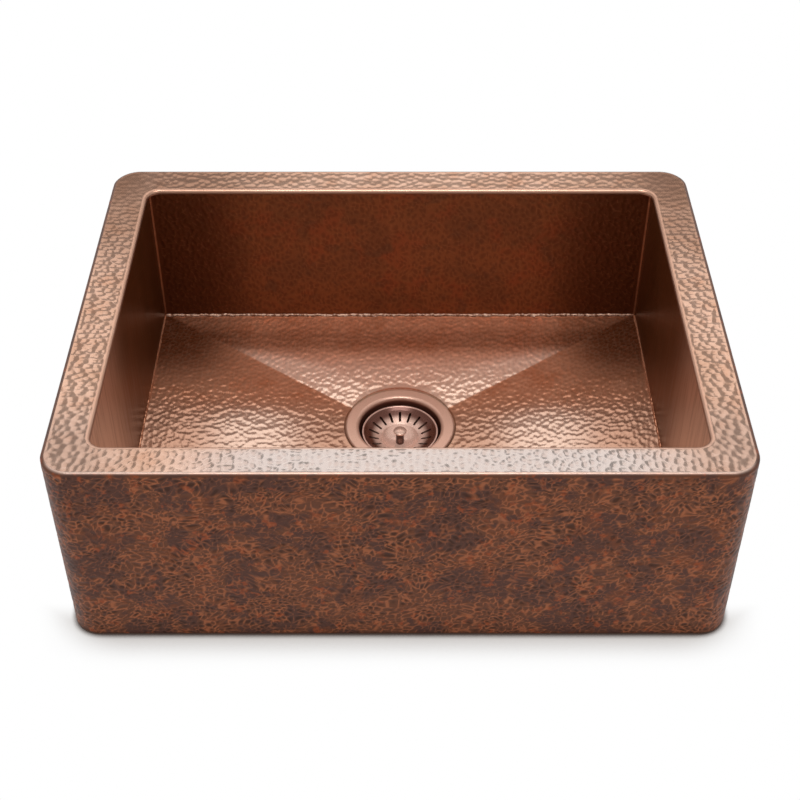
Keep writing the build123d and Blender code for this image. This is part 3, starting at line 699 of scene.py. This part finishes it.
# Basin floor: four facets, a stamped round recess and the drain hole
floorPan = {
    "cell": 1.55 * mm, "coarse": 4, "fall": 17 * mm, "apexY": -7 * mm, "apexShare": 0.02,
    "recess": 59 * mm, "recessTop": sink["base"] + 25 * mm,
    # in cells out from the recess's circle: how near a point is cut away, and how near the cut's edge is
    "cutWithin": 0.3, "edgeWithin": 3,
    # the recess's edge: mm out from its circle and share of the drop, then rings of flat ledge to the hole
    "edge": ((0.0, 0.35), (-0.35, 0.8), (-1.2, 1.0)), "hole": -13.5, "ledgeRings": 6,
}
floorMarks = {"spacing": 4.9 * mm, "stretch": 1.3, "jitter": 0.7, "uneven": 0.1, "fullAt": 0.62, "pitAt": 0.3,
              "ridgeWidth": 0.45, "depth": 0.7 * mm, "warps": ((3.5 * mm, 16 * mm),), "seed": 7}
floorWearAndLight = {
    "edge": 3 * mm,
    # the back facet has painted highlights near the drain and along its two creases, and a dark red band of
    # painted shade near the wall
    "facet": {"lead": (0.0, 0.02), "y": (0.0, 0.02)},
    "crease": {"lead": (0.04, 0.3), "y": (0.07, 0.13), "paintedHighlight": 0.9},
    "nearDrain": {"y": (0.075, 0.135), "paintedHighlight": 0.7},
    # painted shade in the back corners, less on the back facet, and in a band across the back facet that eases
    # off right by the wall
    "corners": {"x": (0.15, 0.24), "y": (0.0, 0.14), "facetLess": 0.6},
    "band": {"y": (0.095, 0.125), "tarnishAndShade": 0.55, "wallY": (0.135, 0.16), "wallLess": 0.3},
    # the front is a paler, greyer pink, with two broad painted highlights either side of the drain
    "pale": (-0.02, 0.07), "paintedGlints": {"x": 0.15, "width": 0.05, "y": (-0.01, 0.045)},
}


def facetSides(x, y):
    # how far each facet has run from its wall to the low middle, for the sides, the front and the back
    smallX = basin["halfWidth"] * floorPan["apexShare"]
    smallY = (basin["back"] - basin["front"]) * floorPan["apexShare"] / 2
    return np.stack([
        (basin["halfWidth"] - np.abs(x)) / (basin["halfWidth"] - smallX),
        (y - basin["front"]) / (floorPan["apexY"] - smallY - basin["front"]),
        (basin["back"] - y) / (basin["back"] - floorPan["apexY"] - smallY)])


def floorBlank():
    sheet, coarse, recess = sink["sheet"], floorPan["coarse"], floorPan["recess"]
    wide, deep = 2 * (basin["halfWidth"] + sheet), basin["back"] - basin["front"] + 2 * sheet
    columns, rows = [coarse * round(length / floorPan["cell"] / coarse) for length in (wide, deep)]
    bm = flatBlank(columns, rows, coarse)
    bmesh.ops.scale(bm, vec=(wide, deep, 1), verts=bm.verts[:])
    bmesh.ops.translate(bm, vec=(0, (basin["back"] + basin["front"]) / 2, 0), verts=bm.verts[:])
    bmesh.ops.bridge_loops(bm, edges=[e for e in bm.edges if e.is_boundary])
    # cut the round hole on both sides, draw its ragged edge onto the circle and form the recess
    dropLayer = bm.verts.layers.float.new("drop")
    turnIn, rings = floorPan["edge"][-1][0], floorPan["ledgeRings"]
    ledge = [(turnIn + (floorPan["hole"] - turnIn) * k / rings, 1.0) for k in range(1, rings + 1)]
    for level, cell in ((0, floorPan["cell"]), (-1, floorPan["cell"] * coarse)):
        cut = [v for v in bm.verts
               if abs(v.co.z - level) < 0.5 and v.co.to_2d().length < recess + floorPan["cutWithin"] * cell]
        bmesh.ops.delete(bm, geom=cut, context="VERTS")
        loop = [e for e in bm.edges if e.is_boundary and all(abs(v.co.z - level) < 0.5 for v in e.verts)
                and e.verts[0].co.to_2d().length < recess + floorPan["edgeWithin"] * cell]
        for vert in {v for e in loop for v in e.verts}:
            vert.co.x, vert.co.y = vert.co.to_2d().normalized() * recess
        for grow, drop in list(floorPan["edge"]) + ledge:
            made = bmesh.ops.extrude_edge_only(bm, edges=loop)["geom"]
            loop = [g for g in made if isinstance(g, bmesh.types.BMEdge) and g.is_boundary]
            for vert in {v for e in loop for v in e.verts}:
                vert.co.x, vert.co.y = vert.co.to_2d().normalized() * (recess + grow * mm)
                vert[dropLayer] = drop
    bmesh.ops.bridge_loops(bm, edges=[e for e in bm.edges if e.is_boundary])
    bmesh.ops.recalc_face_normals(bm, faces=bm.faces[:])
    return meshFrom(bm, "basinFloor")


mesh = floorBlank()
flat = readPoints(mesh)
drop = np.zeros(len(mesh.vertices))
mesh.attributes["drop"].data.foreach_get("value", drop)
x, y, hidden = flat[:, 0], flat[:, 1], flat[:, 2] < -0.5
height, ridge, pit = hammerMarks(y, x, floorMarks)
edgeGap = np.minimum(np.minimum(basin["halfWidth"] - np.abs(x), y - basin["front"]), basin["back"] - y)
recess, edge = floorPan["recess"], floorWearAndLight["edge"]
fade = smoothStep(np.hypot(x, y), recess, recess + edge) * smoothStep(edgeGap, 0, edge)
fade = np.where(hidden, 0, fade)
sides = facetSides(x, y)
z = basin["floorEdge"] - floorPan["fall"] * np.clip(sides.min(0), 0, 1)
z = z + (floorPan["recessTop"] - z) * drop + np.where(hidden, -sink["sheet"], height * fade)

lead = sides[0] - sides[2]   # above nought inside the back facet, growing away from its creases
facet, crease, nearDrain = (floorWearAndLight[label] for label in ("facet", "crease", "nearDrain"))
inFacet = smoothStep(lead, *facet["lead"]) * smoothStep(y, *facet["y"])
onCrease = inFacet * (1 - smoothStep(lead, *crease["lead"])) * (1 - smoothStep(y, *crease["y"]))
byDrain = inFacet * (1 - smoothStep(y, *nearDrain["y"]))
# painted highlights near the drain and along the back facet's creases
paintedHighlight = np.clip(crease["paintedHighlight"] * onCrease + nearDrain["paintedHighlight"] * byDrain, 0, 1)
corners, band, spots = (floorWearAndLight[label] for label in ("corners", "band", "paintedGlints"))
inCorners = smoothStep(np.abs(x), *corners["x"]) * smoothStep(y, *corners["y"])
inBand = band["tarnishAndShade"] * smoothStep(y, *band["y"]) - band["wallLess"] * smoothStep(y, *band["wallY"])
# painted shade in the back corners and across the back of the back facet
tarnishAndShade = np.clip(inCorners * (1 - corners["facetLess"] * inFacet) + inFacet * inBand, 0, 1)
# two painted highlight spots either side of the drain, in front
paintedGlints = np.exp(-((np.abs(x) - spots["x"]) / spots["width"]) ** 2) * (1 - smoothStep(y, *spots["y"]))
finishMesh(mesh, np.stack([x, y, z], 1),
           {"ridge": ridge * fade, "pit": pit * fade, "tarnishAndShade": tarnishAndShade * ~hidden, "paintedHighlight": paintedHighlight * ~hidden,
            "pale": 1 - smoothStep(y, *floorWearAndLight["pale"]), "paintedGlints": paintedGlints}, sharpAngle=50)
addPiece(mesh, "basinFloor", ("satinCopperFloor",), "floor_copper", "sink", "basin_floor")
say("basin floor made")


# Weld beads where the floor meets the walls
weld = {"step": 0.9 * mm, "around": 12, "sunk": 0.2 * mm, "thin": 1.6 * mm, "thick": 2.2 * mm,
        # lumps: how rough, how far round the bead counts, and a ripple with a broader wave under it
        "rough": 0.5, "girth": 4 * mm, "ripple": 2.8 * mm, "wave": 11 * mm, "waveShare": 0.6, "seed": 60}


def weldBead(name, start, end, inwardWay, size, finishName, seed):
    length = (Vector(end) - Vector(start)).length
    steps = round(length / weld["step"])
    bm = bmesh.new()
    bmesh.ops.create_circle(bm, segments=weld["around"], radius=1, matrix=Matrix.Rotation(math.pi / 2, 4, "Y"))
    bmesh.ops.spin(bm, geom=bm.verts[:] + bm.edges[:], cent=(0, 0, 0), axis=(1, 0, 0), dvec=(1 / steps, 0, 0),
                   angle=0, steps=steps, use_duplicate=False)
    bmesh.ops.holes_fill(bm, edges=[e for e in bm.edges if e.is_boundary], sides=weld["around"])
    bmesh.ops.recalc_face_normals(bm, faces=bm.faces[:])
    mesh = meshFrom(bm, name)
    flat = readPoints(mesh)
    run = flat[:, 0] * length
    around = np.arctan2(flat[:, 2], flat[:, 1]) * weld["girth"]
    lumps = (softNoise(run, around, weld["ripple"], seed) - 0.5
             + weld["waveShare"] * (softNoise(run, around, weld["wave"], seed + 1) - 0.5))
    radius = size * (1 + weld["rough"] * lumps)
    way = np.array((Vector(end) - Vector(start)).normalized())
    inward, up = np.array(inwardWay, float), np.array((0.0, 0.0, 1.0))
    centre = np.array(start) + run[:, None] * way - (inward + up) * weld["sunk"]
    places = centre + inward * (flat[:, 1] * radius)[:, None] + up * (flat[:, 2] * radius)[:, None]
    finishMesh(mesh, places, {}, sharpAngle=60)
    addPiece(mesh, name, (finishName,), "floor_copper", "sink")


wallX, wallFront, wallBack, weldZ = basin["halfWidth"], basin["front"], basin["back"], basin["floorEdge"]
inset = basin["corner"] * 0.6   # short of the rounded corners
endX, endFront, endBack = wallX - inset, wallFront + inset, wallBack - inset
thin, thick = weld["thin"], weld["thick"]
welds = {
    # start, end, way into the basin, radius and finish
    "weldBack": ((-endX, wallBack), (endX, wallBack), (0, -1, 0), thick, "brushedCopperWeld"),
    "weldFront": ((-endX, wallFront), (endX, wallFront), (0, 1, 0), thin, "satinCopperFloor"),
    "weldLeft": ((-wallX, endFront), (-wallX, endBack), (1, 0, 0), thin, "satinCopperFloor"),
    "weldRight": ((wallX, endFront), (wallX, endBack), (-1, 0, 0), thin, "satinCopperFloor"),
}
for seed, (name, (start, end, inward, size, finishName)) in enumerate(welds.items(), weld["seed"]):
    weldBead(name, (*start, weldZ), (*end, weldZ), inward, size, finishName, seed)
say("weld beads laid")


# Finishes of the CAD nodes that stay
nodeFinish = {
    "rolledCopper": ("seam_strap_left", "seam_strap_right", "front_webs", "side_webs", "rear_webs"),
    "platedCopperStrainer": ("strainer_body",),
    "platedCopperBasket": ("basket_cup",),
    "platedCopperKnob": ("basket_knob", "basket_post"),
    "zincPlatedSteel": ("friction_washer", "lock_nut", "spring_clip", "stopper_washer", "post_nut"),
    "nitrileRubber": ("rubber_gasket", "stopper_rubber"),
    "setPutty": ("flange_putty",),
}
for finishName, nodeNames in nodeFinish.items():
    for nodeName in nodeNames:
        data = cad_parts[nodeName].data
        data.materials.clear()
        data.materials.append(materials[finishName])


# Ground: white paper that shows white itself and in the metal, with a painted shadow where the sink stands on
# it.
# The drain hangs below it, through an opening under the sink.
stage = {
    "size": 14.0, "opening": 0.3, "gap": 0.1 * mm, "diffuse": "#E8E8E8", "white": "#FFFFFF",
    # painted shadow: a dark line under the hem, then a pale tail: how far each reaches, its colour and how open
    # the sky is where it is full and where it ends
    "line": {"reach": 9 * mm, "colour": "#5A4C46", "full": 0.42, "gone": 0.9},
    "tail": {"reach": 48 * mm, "colour": "#C2BCB8", "full": 0.42, "gone": 0.95},
    # the light comes from behind, so the tail fades from the apron's face back
    "tailFades": (-5 * mm, 40 * mm),
}
bm = bmesh.new()
for size in (stage["size"], stage["opening"]):
    bmesh.ops.create_grid(bm, x_segments=1, y_segments=1, size=size / 2,
                          matrix=Matrix.Translation((0, 0, sink["base"] - stage["gap"])))
bmesh.ops.delete(bm, geom=bm.faces[:], context="FACES_ONLY")
bmesh.ops.bridge_loops(bm, edges=bm.edges[:])
mesh = meshFrom(bm, "ground")
ground = linkObject("ground", mesh)
material = bpy.data.materials.new("whitePaper")
tree = emptyTree(material)
path = addNode(tree, "ShaderNodeLightPath", {})
shown = addNode(tree, "ShaderNodeMath", {0: path.outputs["Is Camera Ray"], 1: path.outputs["Is Glossy Ray"]},
                operation="MAXIMUM")
place = addNode(tree, "ShaderNodeTexCoord", {}).outputs["Object"]
fadeFrom, fadeTo = stage["tailFades"]
behind = addNode(tree, "ShaderNodeMapRange", {
    "Value": addNode(tree, "ShaderNodeSeparateXYZ", {"Vector": place}).outputs["Y"],
    "From Min": sink["front"] + fadeFrom, "From Max": sink["front"] + fadeTo}, interpolation_type="SMOOTHSTEP")
white = colour(stage["white"])
tint = white
for label in ("line", "tail"):
    shade = stage[label]
    clear = addNode(tree, "ShaderNodeAmbientOcclusion", {"Distance": shade["reach"]}, samples=16).outputs["AO"]
    part = addNode(tree, "ShaderNodeMapRange", {
        "Value": clear, "From Min": shade["full"], "From Max": shade["gone"]}, interpolation_type="SMOOTHSTEP")
    if label == "tail":
        part = addNode(tree, "ShaderNodeMath", {0: part, 1: behind}, operation="MAXIMUM")
    shadow = addNode(tree, "ShaderNodeMix", {0: part, 6: colour(shade["colour"]), 7: white}, data_type="RGBA")
    tint = addNode(tree, "ShaderNodeMix", {0: 1.0, 6: tint, 7: shadow}, data_type="RGBA",
                   blend_type="MULTIPLY")
lit = addNode(tree, "ShaderNodeEmission", {"Color": tint})
paper = addNode(tree, "ShaderNodeBsdfDiffuse", {"Color": colour(stage["diffuse"])})
mixed = addNode(tree, "ShaderNodeMixShader", {0: shown, 1: paper, 2: lit})
addNode(tree, "ShaderNodeOutputMaterial", {"Surface": mixed})
mesh.materials.append(material)

# White studio all round, dimmer overhead where the metal sees only the lamps
sky = {"horizon": 0.9, "overhead": 0.56, "fill": 0.55, "dimsFrom": 0.2, "dimsTo": 0.42}
world = bpy.data.worlds.new("studio")
tree = emptyTree(world)
path = addNode(tree, "ShaderNodeLightPath", {})
aim = addNode(tree, "ShaderNodeTexCoord", {}).outputs["Generated"]
rise = addNode(tree, "ShaderNodeSeparateXYZ", {"Vector": aim}).outputs["Z"]
mirrored = addNode(tree, "ShaderNodeMapRange", {
    "Value": rise, "From Min": sky["dimsFrom"], "From Max": sky["dimsTo"],
    "To Min": sky["horizon"], "To Max": sky["overhead"]}, interpolation_type="SMOOTHSTEP")
fill = addNode(tree, "ShaderNodeMix", {0: path.outputs["Is Glossy Ray"], 2: sky["fill"], 3: mirrored})
strength = addNode(tree, "ShaderNodeMix", {0: path.outputs["Is Camera Ray"], 2: fill, 3: 1.0})
background = addNode(tree, "ShaderNodeBackground", {"Color": (1, 1, 1, 1), "Strength": strength})
addNode(tree, "ShaderNodeOutputWorld", {"Surface": background})
bpy.context.scene.world = world

lamps = {
    # seen in the rim and the floor, from 33 to 60 degrees up and 22 degrees to each side
    "backSoftbox": {"place": (0, 1.55, 1.9), "aim": (0, 0, 0.15), "size": (1.7, 1.2), "radiance": 1.15},
    # reaches the back of the floor and the back wall over the front rim
    "topSoftbox": {"place": (0, -0.6, 2.5), "aim": (0, 0, 0.1), "size": (1.4, 0.9), "radiance": 7.6},
}
for name, lamp in lamps.items():
    data = bpy.data.lights.new(name, "AREA")
    data.shape = "RECTANGLE"
    data.size, data.size_y = lamp["size"]
    data.energy = lamp["radiance"] * math.pi * lamp["size"][0] * lamp["size"][1]
    softbox = linkObject(name, data)
    softbox.location = lamp["place"]
    way = Vector(lamp["aim"]) - Vector(lamp["place"])
    softbox.rotation_euler = way.to_track_quat("-Z", "Y").to_euler()

cameraSettings = {"place": (0, -1.0994, 1.0739), "tilt": 48.357, "lens": 63.99, "sensor": 36}
cameraData = bpy.data.cameras.new("photoCamera")
cameraData.lens, cameraData.sensor_width = cameraSettings["lens"], cameraSettings["sensor"]
camera = linkObject("photoCamera", cameraData)
camera.location = cameraSettings["place"]
camera.rotation_euler = (math.radians(cameraSettings["tilt"]), 0, 0)
bpy.context.scene.camera = camera
bpy.context.scene.view_settings.view_transform = "Standard"

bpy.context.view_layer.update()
say("all pieces placed")
